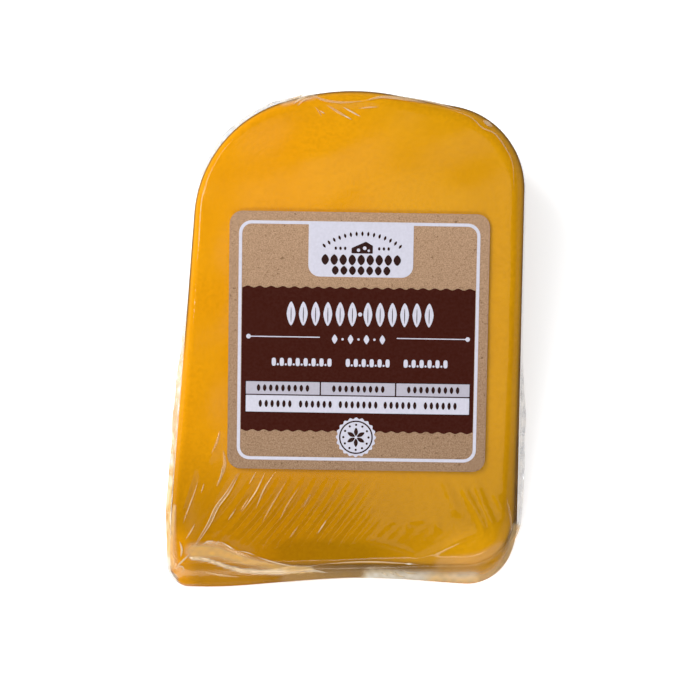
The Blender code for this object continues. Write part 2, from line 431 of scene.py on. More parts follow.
def join_rings(rings, loop=False):
    """Faces of a stack of rings with equal counts: quads between them, and a flat cap at each open end."""
    levels, count = rings.shape[:2]
    index = np.arange(levels * count).reshape(levels, count)
    lower = index if loop else index[:-1]
    upper = np.roll(index, -1, axis=0) if loop else index[1:]
    sides = [lower, np.roll(lower, -1, axis=1), np.roll(upper, -1, axis=1), upper]
    faces = np.stack(sides, axis=-1).reshape(-1, 4).tolist()
    if not loop:
        faces += [index[0, ::-1].tolist(), index[-1].tolist()]
    return faces


def make_piece(name, stacks, material, loop=False, marks=None):
    """A smooth object from stacks of rings, with float attributes that hold a value for each vertex."""
    vertices, faces, start = [], [], 0
    for rings in stacks:
        faces += [[start + corner for corner in face] for face in join_rings(rings, loop)]
        vertices.append(rings.reshape(-1, 3))
        start += len(vertices[-1])
    mesh = bpy.data.meshes.new(name)
    mesh.from_pydata(np.concatenate(vertices), [], faces)
    mesh.shade_smooth()
    mesh.set_sharp_from_angle(angle=SHARP_EDGE)
    for key, values in (marks or {}).items():
        attribute = mesh.attributes.new(key, "FLOAT", "POINT")
        attribute.data.foreach_set("value", values.astype(np.float32).ravel())
    mesh.materials.append(material)
    piece = bpy.data.objects.new(name, mesh)
    bpy.context.scene.collection.objects.link(piece)
    return piece


# Soft folds that press into the cheese: a path of (x, v) on the face, and its rise and width, in millimetres
FOLDS = (
    ([(22.7, -31.5), (25.7, -38.5), (27.7, -43.5)], 0.18, 1.1),
    ([(26.4, -31.5), (29.6, -37.7), (31.8, -41.5), (33.4, -45.4), (34.0, -50.0)], 0.36, 1.1),
    ([(30.4, -31.5), (33.2, -38.6), (35.1, -43.1), (36.8, -47.7)], 0.32, 1.0),
    ([(34.4, -34.5), (37.3, -38.9), (39.0, -41.8), (40.1, -46.0)], 0.26, 0.85),
    ([(38.2, -30.0), (39.4, -37.5), (40.4, -43.5), (40.6, -48.5)], 0.12, 0.6),
    ([(13.5, -54.6), (17.6, -53.4), (22.4, -51.4), (28.3, -48.3), (33.0, -46.2)], 0.24, 0.7),
    ([(2.0, -48.4), (8.0, -49.4), (14.0, -51.4), (17.6, -53.2)], 0.12, 0.8),
    ([(15.1, -47.0), (15.2, -44.0), (20.2, -43.6)], 0.12, 0.5),
    ([(10.1, -46.6), (10.4, -44.2), (13.4, -44.1)], 0.1, 0.5),
    ([(22.6, -42.4), (22.0, -44.6), (23.4, -47.0)], 0.1, 0.55),
    ([(-32.0, -21.0), (-32.8, -25.0), (-35.2, -30.0)], 0.16, 0.8),
    ([(-37.6, -30.0), (-39.8, -37.0), (-41.8, -44.0)], 0.24, 0.7),
    ([(-37.6, -48.0), (-34.4, -48.6), (-31.0, -49.0), (-27.0, -51.2), (-21.0, -53.2)], 0.3, 0.9),
    ([(-9.6, 60.6), (-2.0, 59.2), (6.0, 59.8), (14.0, 60.0), (22.0, 58.6)], 0.12, 0.6),
)
FOLD_TAPER = 0.3

# Sharp pleats of film, their haze mostly a painted highlight along each fold: a path as above, half width and
# rise in millimetres, haze and warmth
PLEATS = (
    ([(-26.9, -31.4), (-29.6, -36.3), (-32.5, -40.3), (-34.6, -44.6), (-39.2, -52.1)], 0.32, 0.11, 0.2, 0.89),
    ([(-26.6, -31.2), (-29.3, -36.4), (-32.1, -40.3), (-34.3, -44.8), (-39.0, -51.8)], 0.12, 0.14, 0.7, 0.62),
    ([(-27.2, -31.4), (-30.0, -36.2), (-33.0, -40.3), (-35.0, -44.6), (-39.4, -52.0)], 0.11, 0.13, 0.75, 0.6),
    ([(-39.2, -52.1), (-41.4, -54.2), (-43.6, -56.4)], 0.24, 0.13, 0.6, 0.71),
    ([(-30.9, -25.9), (-30.5, -28.4), (-30.7, -30.6), (-32.4, -35.2)], 0.42, 0.08, 0.26, 0.83),
    ([(-31.0, -29.6), (-31.5, -32.4), (-32.6, -35.0)], 0.16, 0.11, 0.4, 0.71),
    ([(-31.6, -21.0), (-32.3, -23.7), (-33.8, -26.9)], 0.3, 0.05, 0.22, 0.86),
    ([(-37.0, -33.4), (-38.2, -37.0), (-39.7, -41.0), (-41.0, -44.6)], 0.15, 0.05, 0.45, 0.77),
    ([(-35.6, -34.2), (-36.4, -36.7)], 0.13, 0.04, 0.4, 0.77),
    ([(-38.0, -44.4), (-39.0, -46.4), (-40.5, -48.7)], 0.17, 0.06, 0.5, 0.77),
    ([(-20.5, -31.4), (-22.8, -36.2), (-26.6, -41.8)], 0.18, 0.07, 0.55, 0.71),
    ([(-18.1, -31.4), (-20.9, -35.9), (-22.9, -40.8)], 0.18, 0.07, 0.5, 0.74),
    ([(-22.8, -31.4), (-24.6, -34.6)], 0.16, 0.04, 0.4, 0.77),
    ([(-27.9, -40.8), (-29.8, -43.6)], 0.16, 0.05, 0.5, 0.77),
    ([(-24.4, -37.6), (-26.8, -41.4)], 0.14, 0.04, 0.35, 0.83),
    ([(-15.1, -33.4), (-18.9, -39.7), (-21.4, -44.3)], 0.2, 0.04, 0.26, 0.86),
    ([(-11.9, -34.7), (-15.1, -39.7), (-17.1, -43.8)], 0.2, 0.04, 0.2, 0.86),
    ([(-5.3, -43.3), (-7.7, -47.2)], 0.17, 0.05, 0.55, 0.71),
    ([(-9.2, -36.8), (-11.4, -40.6)], 0.2, 0.04, 0.16, 0.89),
    ([(-12.4, -45.0), (-14.6, -48.2)], 0.2, 0.04, 0.2, 0.86),
    ([(-41.9, -49.0), (-41.4, -51.1), (-41.7, -53.2)], 0.24, 0.08, 0.65, 0.65),
    ([(-43.0, -56.7), (-42.4, -55.7), (-41.4, -55.6), (-41.2, -56.5), (-42.2, -57.2)], 0.15, 0.08, 0.7, 0.65),
    ([(-36.4, -50.0), (-34.9, -49.1), (-33.2, -48.9)], 0.14, 0.05, 0.6, 0.59),
    ([(-34.6, -49.9), (-33.6, -48.6)], 0.12, 0.05, 0.6, 0.59),
    ([(-33.0, -49.9), (-32.0, -48.7)], 0.12, 0.05, 0.6, 0.59),
    ([(-31.6, -49.1), (-29.4, -50.5), (-28.6, -51.0)], 0.18, 0.06, 0.7, 0.53),
    ([(-27.3, -51.4), (-25.0, -51.9), (-23.1, -52.6)], 0.13, 0.05, 0.6, 0.59),
    ([(-23.0, -52.8), (-19.5, -54.1), (-12.8, -55.7), (-7.0, -55.2)], 0.17, 0.06, 0.6, 0.59),
    ([(-39.6, -53.1), (-38.4, -53.5)], 0.3, 0.08, 0.8, 0.53),
    ([(-37.4, -53.3), (-35.6, -53.6), (-34.0, -54.2)], 0.26, 0.08, 0.75, 0.56),
    ([(-33.6, -54.4), (-31.6, -55.2), (-29.6, -55.9)], 0.34, 0.09, 0.75, 0.56),
    ([(-29.4, -55.4), (-27.2, -56.5), (-24.0, -57.0)], 0.42, 0.09, 0.7, 0.59),
    ([(-25.4, -56.9), (-19.5, -57.2), (-12.6, -56.9), (-9.3, -56.4)], 0.26, 0.07, 0.5, 0.62),
    ([(-35.6, -57.0), (-31.5, -57.8), (-27.0, -58.2)], 0.24, 0.05, 0.3, 0.83),
    ([(-12.0, -57.0), (-8.4, -56.7), (-5.0, -57.2)], 0.24, 0.06, 0.5, 0.41),
    ([(-9.0, -55.2), (-0.8, -54.5), (5.4, -54.3), (12.9, -54.7), (19.6, -55.3)], 0.2, 0.06, 0.45, 0.71),
    ([(14.2, -54.9), (16.2, -55.0)], 0.26, 0.07, 0.85, 0.41),
    ([(8.2, -57.0), (10.0, -57.8)], 0.2, 0.08, 0.7, 0.47),
    ([(9.6, -56.6), (11.6, -57.6)], 0.18, 0.08, 0.7, 0.47),
    ([(11.4, -56.6), (12.8, -57.9), (14.6, -58.3)], 0.2, 0.08, 0.6, 0.53),
    ([(13.4, -56.2), (15.0, -57.2), (17.4, -57.4)], 0.18, 0.08, 0.5, 0.59),
    ([(-13.4, 58.9), (-11.7, 60.1), (-9.5, 61.1)], 0.24, 0.07, 0.5, 0.56),
    ([(-12.4, 58.4), (-10.7, 59.9), (-8.5, 60.4)], 0.2, 0.06, 0.4, 0.65),
    ([(-15.4, 59.8), (-12.7, 60.5), (-10.5, 61.5)], 0.22, 0.06, 0.5, 0.56),
    ([(-9.9, 61.5), (-7.3, 60.4), (-5.2, 59.7), (-1.2, 59.3), (4.6, 59.7)], 0.3, 0.06, 0.3, 0.8),
    ([(4.0, 59.7), (8.3, 60.6), (14.4, 60.0), (19.4, 59.1)], 0.34, 0.06, 0.34, 0.71),
    ([(9.2, 61.2), (17.4, 60.0), (22.3, 58.9), (28.3, 57.0)], 0.22, 0.05, 0.36, 0.65),
    ([(23.5, 58.1), (29.6, 55.8), (32.6, 53.2), (35.6, 51.8), (38.1, 48.6), (40.0, 44.6), (40.4, 38.0)],
     0.17, 0.05, 0.34, 0.77),
    ([(32.8, 55.0), (35.2, 53.4)], 0.5, 0.06, 0.4, 0.59),
    ([(-6.9, 57.3), (-5.7, 56.6)], 0.16, 0.06, 0.6, 0.59),
    ([(-5.2, 58.7), (-2.5, 57.0), (0.7, 55.2)], 0.3, 0.08, 0.3, 0.8),
    ([(-1.4, 56.4), (0.9, 55.1)], 0.16, 0.08, 0.7, 0.53),
    ([(-1.3, 58.2), (0.9, 57.0), (3.1, 55.8)], 0.17, 0.08, 0.7, 0.53),
    ([(2.5, 57.8), (4.8, 58.1), (7.4, 58.2)], 0.2, 0.04, 0.28, 0.77),
    ([(-8.1, 58.3), (-7.1, 57.0), (-6.4, 55.8)], 0.2, 0.04, 0.16, 0.89),
    ([(39.2, -38.0), (40.3, -43.0), (40.8, -47.5)], 0.3, 0.05, 0.18, 0.9),
)

# Hazy patches of film, two of them painted light: the second is a painted highlight along the lower edge of
# the fold, and the sixth is painted light on the rounding by the flat corner. Each is a path as above, half
# widths at its two ends in millimetres, haze and warmth
HAZE_AND_LIGHT_PATCHES = (
    ([(-38.4, -51.6), (-33.5, -51.6), (-30.0, -52.6), (-24.0, -54.4), (-17.0, -55.8), (-9.5, -56.3)],
     2.8, 1.0, 0.52, 0.92),
    # Painted highlight along the lower edge of the fold
    ([(-38.6, -53.4), (-35.0, -53.9), (-31.0, -55.3), (-26.0, -56.6), (-18.0, -57.0), (-9.0, -56.6)],
     0.6, 0.9, 0.7, 0.55),
    ([(-14.0, -58.6), (0.0, -58.6), (10.0, -58.8)], 3.8, 4.2, 0.21, 0.88),
    ([(6.0, -58.8), (14.0, -59.2), (22.0, -59.4), (31.0, -59.4)], 3.8, 3.8, 0.7, 0.27),
    ([(22.0, -60.0), (29.0, -60.4), (36.0, -58.4), (40.6, -53.0), (42.0, -46.0)], 4.2, 2.0, 0.48, 0.76),
    # Painted light on the rounding by the flat corner
    ([(24.0, -55.4), (32.0, -54.0), (38.0, -50.6)], 3.2, 1.8, 0.22, 0.9),
    ([(-43.0, -40.0), (-44.0, -47.0), (-44.6, -55.0)], 0.5, 2.4, 0.5, 0.85),
    ([(-45.6, -54.0), (-45.4, -57.0), (-43.8, -58.6)], 1.6, 1.6, 0.75, 0.1),
    ([(-15.5, 59.4), (-12.5, 60.2), (-8.5, 61.0)], 1.3, 1.3, 0.24, 0.5),
)
PATCH_EDGE = 1.35

# A pleat's bead: its size at its ends, as a share, and how far it is sunk into the film, in millimetres
PLEAT_END = 0.06
PLEAT_SINK = 0.03

# Ripples: their height, period and lean, how much is left of them away from their middle, and their spans
RIPPLE_RISE = 0.085 * MM
RIPPLE_PERIOD = 2.6 * MM
RIPPLE_LEAN = math.radians(55)
RIPPLE_LEFT_OVER = 0.12
RIPPLE_DOWN, RIPPLE_UP = (-31, -6), (-53, 8)
RIPPLE_RIGHTWARDS, RIPPLE_FADE, RIPPLE_EDGE = (-34, 6), (-4, 22), (38, -4)

# Gentle dents of the whole face: height, length of the waves, and the span in which the sides end them
DENT = 0.05 * MM
DENT_LENGTH = 21 * MM
DENT_EDGE = (44, -6)


def comb(x, v):
    """The soft parallel ripples that lean across the lower face: rise * cos(2 pi * phase / period), with the
    phase measured across their lean and wandering by two slow sine waves."""
    across = x * math.sin(RIPPLE_LEAN) - (v - RIPPLE_DOWN[0] * MM) * math.cos(RIPPLE_LEAN)
    phase = across + 0.5 * MM * np.sin(v / (5 * MM)) + 0.4 * MM * np.sin(x / (7 * MM) + 1)
    ripple = np.cos(2 * math.pi * phase / RIPPLE_PERIOD)
    strength = come_in(v, RIPPLE_DOWN) * come_in(v, RIPPLE_UP) * come_in(np.abs(x), RIPPLE_EDGE)
    spread = come_in(x, RIPPLE_RIGHTWARDS) * (1 - come_in(x, RIPPLE_FADE))
    return RIPPLE_RISE * ripple * strength * (RIPPLE_LEFT_OVER + (1 - RIPPLE_LEFT_OVER) * spread)


def face_relief(points):
    """Height over the smooth upper face at (x, v) points: folds, soft ripples and gentle dents."""
    x, v = points[..., 0], points[..., 1]
    height = comb(x, v)
    height += DENT * waves(points, DENT_LENGTH, 3) * come_in(np.abs(x), DENT_EDGE)
    for path, rise, width in FOLDS:
        add_fold(height, points, path, rise, width)
    return height


def skin_rings(gap, with_seam):
    """Rings of the wedge's skin, drawn in by a gap, from the middle of the underside, up the walls and to the
    middle of the upper face. Gives their places, their (x, v), and each vertex's share out on the seam's fin
    and up the rounding from the wall to a face."""
    low = lower_outline(FILM_STEP)
    high = profile(UPPER_TIP_V, FILM_STEP)
    low_normal, high_normal = outward(low), outward(high)
    low_radius = LOWER_EDGE + (LOWER_TIP_EDGE - LOWER_EDGE) * tipness(low)
    high_radius = edge_radius(high)
    tip = tipness(low)
    rings, flats, out_shares, face_shares = [], [], [], []

    def add(points, angle, out_share=0.0, face_share=0.0):
        rings.append(to_space(points, angle))
        flats.append(points)
        out_shares.append(np.full(len(points), out_share))
        face_shares.append(np.full(len(points), face_share))

    rim = low - low_normal * (low_radius + gap)[:, None]
    middle = low.mean(axis=0)
    for scale in UNDERSIDE_SCALES:
        points = middle + scale * (rim - middle)
        add(points, gap / radial(points), face_share=1.0)
    for turn in np.linspace(0, math.pi / 2, 5):
        points = low - low_normal * (low_radius * (1 - math.sin(turn)) + gap)[:, None]
        height = low_radius * (1 - math.cos(turn)) + gap * math.cos(turn)
        add(points, height / radial(points), face_share=math.cos(turn))

    def wall(level, rise=0.0, out=0.0, out_share=0.0):
        proud = out - gap + WALL_BULGE * np.sin(math.pi * level) * (1 - tip)
        points = low + (high - low) * inset_share(low, level)[:, None] + low_normal * proud[:, None]
        start = low_radius / radial(points)
        end = top_angle(points) - high_radius / radial(points)
        add(points, start + (end - start) * level + (rise - gap * tip) / radial(points), out_share)

    seam = seam_level(low)
    around = to_space(low, 0)
    for share in (0.15, 0.35, 0.55, 0.75, 0.9):
        wall(seam * share)
    if with_seam:
        hidden = TIP_SEAM_HIDDEN * tip * come_in(low[:, 0], TIP_SEAM_SPAN)
        uneven = 1 + FIN_UNEVEN[0] * waves(around, FIN_UNEVEN[1], 11)
        fin = seam_width(way_round(low)) * uneven * (1 - hidden)
        sway = sum(amount * waves(around, length, 12 + k) for k, (amount, length) in enumerate(FIN_SWAY))
        for side in (-1, 1):
            for share in (0.0, 0.12, 0.4, 0.7, 1.0)[::-side]:
                thick = SEAM_EDGE + (SEAM_HALF_ROOT - SEAM_EDGE) * (1 - share) ** 6
                hazy = min(1.0, SEAM_ROOT_HAZE + 4 * share)
                rise = side * thick * (1 - hidden) + sway * share * fin / FIN_SWAY_WIDTH
                wall(seam, rise, fin * share, hazy)
    for turn in np.linspace(0, math.pi / 2, 11)[1:-1]:
        wall(seam + (1 - seam) * math.sin(turn))

    for turn in np.linspace(0, math.pi / 2, 9)[:-1]:
        points = high - high_normal * (high_radius * (1 - math.cos(turn)) + gap)[:, None]
        below = high_radius * (1 - math.sin(turn)) + (gap - face_relief(points)) * math.sin(turn)
        add(points, top_angle(points, below), face_share=math.sin(turn))
    rim = high - high_normal * (high_radius + gap)[:, None]
    middle = rim.mean(axis=0)
    for scale in FACE_SCALES:
        points = middle + scale * (rim - middle)
        add(points, top_angle(points, gap - face_relief(points)), face_share=1.0)
    return np.array(rings), np.array(flats), np.array(out_shares), np.array(face_shares)


def film_angle(points):
    """Angle of the film's surface over (x, v) points: on the upper face, on its rounded edge at a distance d
    in from the outline, r - sqrt(r squared - (r - d) squared) lower, or past it on the tip's wall."""
    high = profile(UPPER_TIP_V, FILM_STEP)
    nearest = np.linalg.norm(points[..., None, :] - high, axis=-1).argmin(axis=-1)
    inward = ((high[nearest] - points) * outward(high)[nearest]).sum(axis=-1)
    radius = edge_radius(high)[nearest]
    short = np.clip(radius - inward, 0, radius)
    below = radius - np.sqrt(radius**2 - short**2)
    x, v = points[..., 0], points[..., 1]
    low_v = LOWER_TIP_V - bump(x, *TIP_LOBE) + bump(x, *TIP_HOLLOW)
    moved = np.clip((v - low_v) / (UPPER_TIP_V - low_v), 0, 1)
    lip = lip_share(x)
    level = (0.5 - np.sin(np.arcsin(1 - 2 * moved) / 3)) * (1 - lip) + np.sqrt(1 - (1 - moved) ** 2) * lip
    edge = top_angle(points, radius)
    on_wall = LOWER_TIP_EDGE / radial(points)
    on_wall = on_wall + (edge - on_wall) * level
    return np.where(inward < 0, on_wall, top_angle(points, below - face_relief(points)))


def pleat_rings(path, half_width, rise):
    """A thin closed bead of film along a path: a low arch, rise * (1 - across squared), sunk a little into
    the film below, and tapered to almost nothing at both ends by the sine of its length to the power 0.7."""
    curve = curve_points(path)
    along = np.gradient(curve, axis=0)
    along /= np.linalg.norm(along, axis=1)[:, None]
    left = np.stack([-along[:, 1], along[:, 0]], axis=1)
    swell = PLEAT_END + (1 - PLEAT_END) * np.sin(np.linspace(0, math.pi, len(curve))) ** 0.7
    over = np.linspace(1, -1, 9)
    across = np.concatenate([over, over[::-4]])
    lift = np.concatenate([rise * (1 - over**2), np.full(3, -PLEAT_SINK)])
    points = curve[:, None] + left[:, None] * (swell[:, None] * across * half_width * MM)[..., None]
    height = swell[:, None] * lift * MM
    rings = to_space(points, film_angle(points) + height / radial(points))
    return rings, np.repeat(swell, len(across))


def label_to_face(places):
    """Turns label positions (right, down) from its top left corner, in metres, into (x, v) on the face."""
    right = places[..., 0] - LABEL_SIDE / 2
    up = LABEL_SIDE / 2 - places[..., 1]
    cos, sin = math.cos(LABEL_TURN), math.sin(LABEL_TURN)
    return np.stack([right * cos - up * sin, right * sin + up * cos], axis=-1) + LABEL_CENTRE


def on_label(places, rise):
    """Puts label positions over the film at the paper's top surface plus a rise."""
    points = label_to_face(places)
    return to_space(points, top_angle(points, -(LABEL_GAP + LABEL_THICKNESS + rise)))


def panel(left, top, right, bottom, radii, step=0.6 * MM):
    """Outline of an upright rectangle with rounded corners, anticlockwise from its bottom left corner."""
    corners = [np.array(corner) for corner in ((left, bottom), (right, bottom), (right, top), (left, top))]
    return rounded_outline(corners, radii, point_counts(corners, radii, step))


def label_square(inset, radius):
    """Outline of a square set in from the label's edges."""
    far = LABEL_SIDE - inset
    return panel(inset, inset, far, far, [radius] * 4)


def paper_rings():
    """The paper as a thin plate: its outline in nested rings, over and under."""
    outline = label_square(0.0, LABEL_CORNER)
    middle = np.full(2, LABEL_SIDE / 2)
    scales = np.concatenate([[1.0, 0.998], np.linspace(0.99, 0.03, 34)])
    nested = middle + scales[:, None, None] * (outline - middle)
    return np.concatenate([on_label(nested, -LABEL_THICKNESS)[::-1], on_label(nested, 0.0)])


def slab(outline, rise, rings=2):
    """A closed slab of ink: its outline at the paper and at its own height, then drawn in to its middle."""
    middle = (outline.min(axis=0) + outline.max(axis=0)) / 2
    scales = np.linspace(1, 0.03, rings + 1)
    nested = middle + scales[:, None, None] * (outline - middle)
    return np.concatenate([on_label(outline, -INK / 2)[None], on_label(nested, rise)])


def spot(right, down, half_width, half_height, power=2.0, turn=0.0):
    """Outline of a spot, in millimetres, |x / a| ** power + |y / b| ** power = 1: a leaf with a low power, an
    oval with 2 and a bar with a high one."""
    way = np.linspace(0, 2 * math.pi, 20, endpoint=False)
    cos, sin = np.cos(way), np.sin(way)
    x = half_width * np.sign(cos) * np.abs(cos) ** (2 / power)
    y = half_height * np.sign(sin) * np.abs(sin) ** (2 / power)
    x, y = x * math.cos(turn) + y * math.sin(turn), y * math.cos(turn) - x * math.sin(turn)
    return np.stack([right + x, down - y], axis=1) * MM


def frame_line():
    """The white line round the label, a closed loop of four rings."""
    outer = label_square(LINE_INSET, LINE_RADIUS)
    middle = np.full(2, LABEL_SIDE / 2)
    inner_side = LABEL_SIDE - 2 * (LINE_INSET + LINE_WIDTH)
    inner = label_square(LINE_INSET + LINE_WIDTH, LINE_RADIUS - LINE_WIDTH)
    count = len(outer)
    way = np.linspace(0, len(inner), count, endpoint=False)
    closed = np.concatenate([inner, inner[:1]])
    inner = np.stack([np.interp(way, np.arange(len(closed)), closed[:, k]) for k in range(2)], axis=1)
    low = -INK / 2
    return np.array(
        [on_label(outer, low), on_label(outer, FIGURE), on_label(inner, FIGURE), on_label(inner, low)]
    )


def band_outline():
    """The brown band: straight sides, and long edges scalloped by a wave of half a period each bump."""
    across = np.linspace(BAND_LEFT, BAND_RIGHT, 8 * SCALLOPS + 1)
    wave = SCALLOP_DEPTH * (1 - np.cos(np.linspace(0, 2 * math.pi * SCALLOPS, len(across)))) / 2
    bottom = np.stack([across, BAND_BOTTOM + wave], axis=1)
    top = np.stack([across[::-1], BAND_TOP - wave], axis=1)
    down = np.linspace(BAND_TOP, BAND_BOTTOM, 30)[1:-1]
    right = np.stack([np.full_like(down, BAND_RIGHT), down[::-1]], axis=1)
    left = np.stack([np.full_like(down, BAND_LEFT), down], axis=1)
    return np.concatenate([bottom, right, top, left])


def seal_outline(radius, bumps, depth):
    """A round seal's edge: radius + depth * cos(bumps * angle)."""
    way = np.linspace(0, 2 * math.pi, 8 * bumps, endpoint=False)
    reach = radius + depth * np.cos(bumps * way)
    return np.stack([SEAL[0] + reach * np.cos(way), SEAL[1] - reach * np.sin(way)], axis=1) * MM


def row(rise, middle, down, pitch, count, *shape):
    """Slabs of equal spots in a row about a middle, with a spot's half width, half height and power."""
    steps = (np.arange(count) - (count - 1) / 2) * pitch
    return [slab(spot(middle + step, down, *shape), rise) for step in steps]


def print_parts():
    """The label's print, by ink: closed slabs for its fields, lines and ornaments, placed in millimetres."""
    light, grey, dark = [], [], []

    # The plaque: an arc of leaves, a slice of cheese between dots, and two rows of leaves
    light.append(slab(panel(*PLAQUE, [2.8 * MM, 2.8 * MM, 0.3 * MM, 0.3 * MM]), STRIP, 8))
    for a in np.radians(np.linspace(-36, 36, 15)):
        leaf = spot(32.4 + 15.8 * math.sin(a), 21 - 15.8 * math.cos(a), 0.3, 0.6, 1.4, a)
        dark.append(slab(leaf, MARK))
    wedge = np.array([(29.8, 10.0), (35.0, 10.0), (35.0, 8.1), (33.3, 7.1), (29.8, 8.7)]) * MM
    dark.append(slab(rounded_outline(wedge, [0.25 * MM] * 5, [(4, 3)] * 5), MARK))
    for right, down, radius in ((31.5, 9.2, 0.4), (33.0, 8.7, 0.45), (34.0, 9.3, 0.3)):
        light.append(slab(spot(right, down, radius, radius), DETAIL))
    for middle in (27.1, 37.7):
        dark += row(MARK, middle, 8.8, 1.15, 3, 0.3, 0.42, 2.0)
    dark += row(MARK, 32.2, 11.6, 2.2, 9, 0.92, 1.3, 1.6)
    dark += row(MARK, 32.2, 14.2, 2.1, 7, 0.85, 1.1, 1.6)

    # The brown band: large leaves with a rib, then a line with dots and small leaves, then bars
    for middle in (22.75, 41.55):
        light += row(FIGURE, middle, 24.95, 3.0, 6, 1.08, 2.95, 1.5)
        dark += row(STRIP, middle, 25.2, 3.0, 6, 0.1, 1.9, 2.0)
    light.append(slab(spot(32.15, 24.95, 0.5, 0.5), FIGURE))
    for dot, line_start, line_end in ((4.9, 4.9, 22.4), (58.6, 41.2, 58.6)):
        light.append(slab(spot(dot, 30.7, 0.57, 0.57), FIGURE))
        line = panel(line_start * MM, 30.58 * MM, line_end * MM, 30.82 * MM, [0.1 * MM] * 4)
        light.append(slab(line, FIGURE))
    light += row(FIGURE, 31.85, 31.1, 3.9, 4, 0.68, 1.15, 1.3)
    light += row(FIGURE, 31.85, 31.1, 3.9, 3, 0.3, 0.3, 2.0)
    for middle, count in ((18.0, 8), (34.2, 6), (48.4, 6)):
        light += row(FIGURE, middle, 36.9, 1.95, count, 0.52, 1.0, 3.0)
        light += row(FIGURE, middle, 37.5, 1.95, count - 1, 0.26, 0.26, 2.0)

    # The strips: three grey cells over a white one, with rows of ovals
    dark.append(slab(panel(*STRIP_BACK, [0.1 * MM] * 4), FIGURE, 6))
    for left, right, middle in ((4.4, 22.5, 13.5), (22.85, 41.0, 32.0), (41.35, 59.3, 50.4)):
        grey.append(slab(panel(left * MM, 41.8 * MM, right * MM, 44.9 * MM, [0.1 * MM] * 4), STRIP, 4))
        dark += row(MARK, middle, 43.35, 1.5, 9, 0.44, 0.85, 1.8)
    light.append(slab(panel(4.4 * MM, 45.2 * MM, 59.3 * MM, 49.3 * MM, [0.1 * MM] * 4), STRIP, 6))
    for middle, count in ((11.6, 6), (21.5, 6), (32.0, 7), (42.3, 6), (52.2, 6)):
        dark += row(MARK, middle, 47.25, 1.45, count, 0.42, 0.9, 1.8)

    # The seal: a scalloped disc, a ring, dots and a flower
    light.append(slab(seal_outline(4.75, 20, 0.2), STRIP, 3))
    dark.append(slab(seal_outline(4.15, 20, 0.0), MARK, 3))
    light.append(slab(seal_outline(3.8, 20, 0.0), DETAIL, 3))
    for count, reach, shape in ((12, 3.1, (0.28, 0.28, 2.0)), (6, 1.35, (0.5, 1.05, 1.5))):
        for a in 2 * math.pi * np.arange(count) / count:
            figure = spot(SEAL[0] + reach * math.sin(a), SEAL[1] - reach * math.cos(a), *shape, a)
            dark.append(slab(figure, DETAIL + INK))
    return light, grey, dark


def node_material(name):
    """A new material, its node tree and its main shader."""
    material = bpy.data.materials.new(name)
    material.use_nodes = True
    tree = material.node_tree
    return material, tree, tree.nodes["Principled BSDF"]


def feed(tree, value, socket):
    """Sets an input to a number or a colour, or links an output to it."""
    if isinstance(value, float):
        socket.default_value = value
    elif isinstance(value, tuple):
        socket.default_value = (*value, 1)
    else:
        tree.links.new(value, socket)


def ramp(tree, factor, stops):
    """The colour of a ramp over an output, with stops of (position, colour)."""
    node = tree.nodes.new("ShaderNodeValToRGB")
    elements = node.color_ramp.elements
    while len(elements) < len(stops):
        elements.new(0.5)
    for element, (position, colour) in zip(elements, stops):
        element.position = position
        element.color = (*colour, 1)
    tree.links.new(factor, node.inputs["Fac"])
    return node.outputs["Color"]


def math_node(tree, operation, *values, clamp=False):
    """The result of a Math node on numbers or outputs."""
    node = tree.nodes.new("ShaderNodeMath")
    node.operation = operation
    node.use_clamp = clamp
    for socket, value in zip(node.inputs, values):
        feed(tree, value, socket)
    return node.outputs["Value"]


def blend_colours(tree, factor, first, second, way="MIX"):
    """The colour of a Mix node on colours or outputs, with a number or an output as its factor."""
    node = tree.nodes.new("ShaderNodeMix")
    node.data_type = "RGBA"
    node.blend_type = way
    for name, value in (("Factor", factor), ("A", first), ("B", second)):
        feed(tree, value, node.inputs[name])
    return node.outputs["Result"]


def mark_value(tree, name):
    """The value of a vertex attribute."""
    node = tree.nodes.new("ShaderNodeAttribute")
    node.attribute_name = name
    return node.outputs["Fac"]


def grain(tree, scale, detail):
    """Noise over the object's own coordinates."""
    place = tree.nodes.new("ShaderNodeTexCoord")
    node = tree.nodes.new("ShaderNodeTexNoise")
    node.inputs["Scale"].default_value = scale
    node.inputs["Detail"].default_value = detail
    tree.links.new(place.outputs["Object"], node.inputs["Vector"])
    return node.outputs["Fac"]


def cheese_material():
    """Golden cut faces, mottled, with painted shade that darkens them towards the tip and towards the flat
    side, and a rind browned by smoke on the walls, whose brown also paints shade on the tip's wall.
    """
    material, tree, shader = node_material("smoked_gouda")
    tone = ramp(tree, grain(tree, 45, 4.0), [(0.3, (0.80, 0.325, 0.0025)), (0.7, (0.87, 0.37, 0.004))])
    flecks = ramp(tree, grain(tree, 1300, 3.0), [(0.30, (0.92, 0.90, 0.80)), (0.62, (1.02, 1.02, 1.1))])
    # Painted shade: the dark mark darkens the face down towards the tip and at the rim
    dark = blend_colours(tree, mark_value(tree, "dark"), (1.0, 1.0, 1.0), (0.50, 0.52, 0.3))
    # Painted shade towards the flat side, taking more red than green
    side = blend_colours(tree, mark_value(tree, "side"), (1.0, 1.0, 1.0), (0.87, 0.98, 1.0))
    for layer in (flecks, dark, side):
        tone = blend_colours(tree, 1.0, tone, layer, "MULTIPLY")
    # The rind's brown, also used as painted shade on the tip's wall
    rind_and_shade = ramp(tree, grain(tree, 160, 4.0), [(0.3, (0.12, 0.052, 0.003)), (0.7, (0.20, 0.09, 0.005))])
    colour = blend_colours(tree, mark_value(tree, "rind_and_shade"), tone, rind_and_shade)
    tree.links.new(colour, shader.inputs["Base Color"])
    shader.inputs["Roughness"].default_value = 0.6
    shader.inputs["Specular IOR Level"].default_value = 0.0
    return material


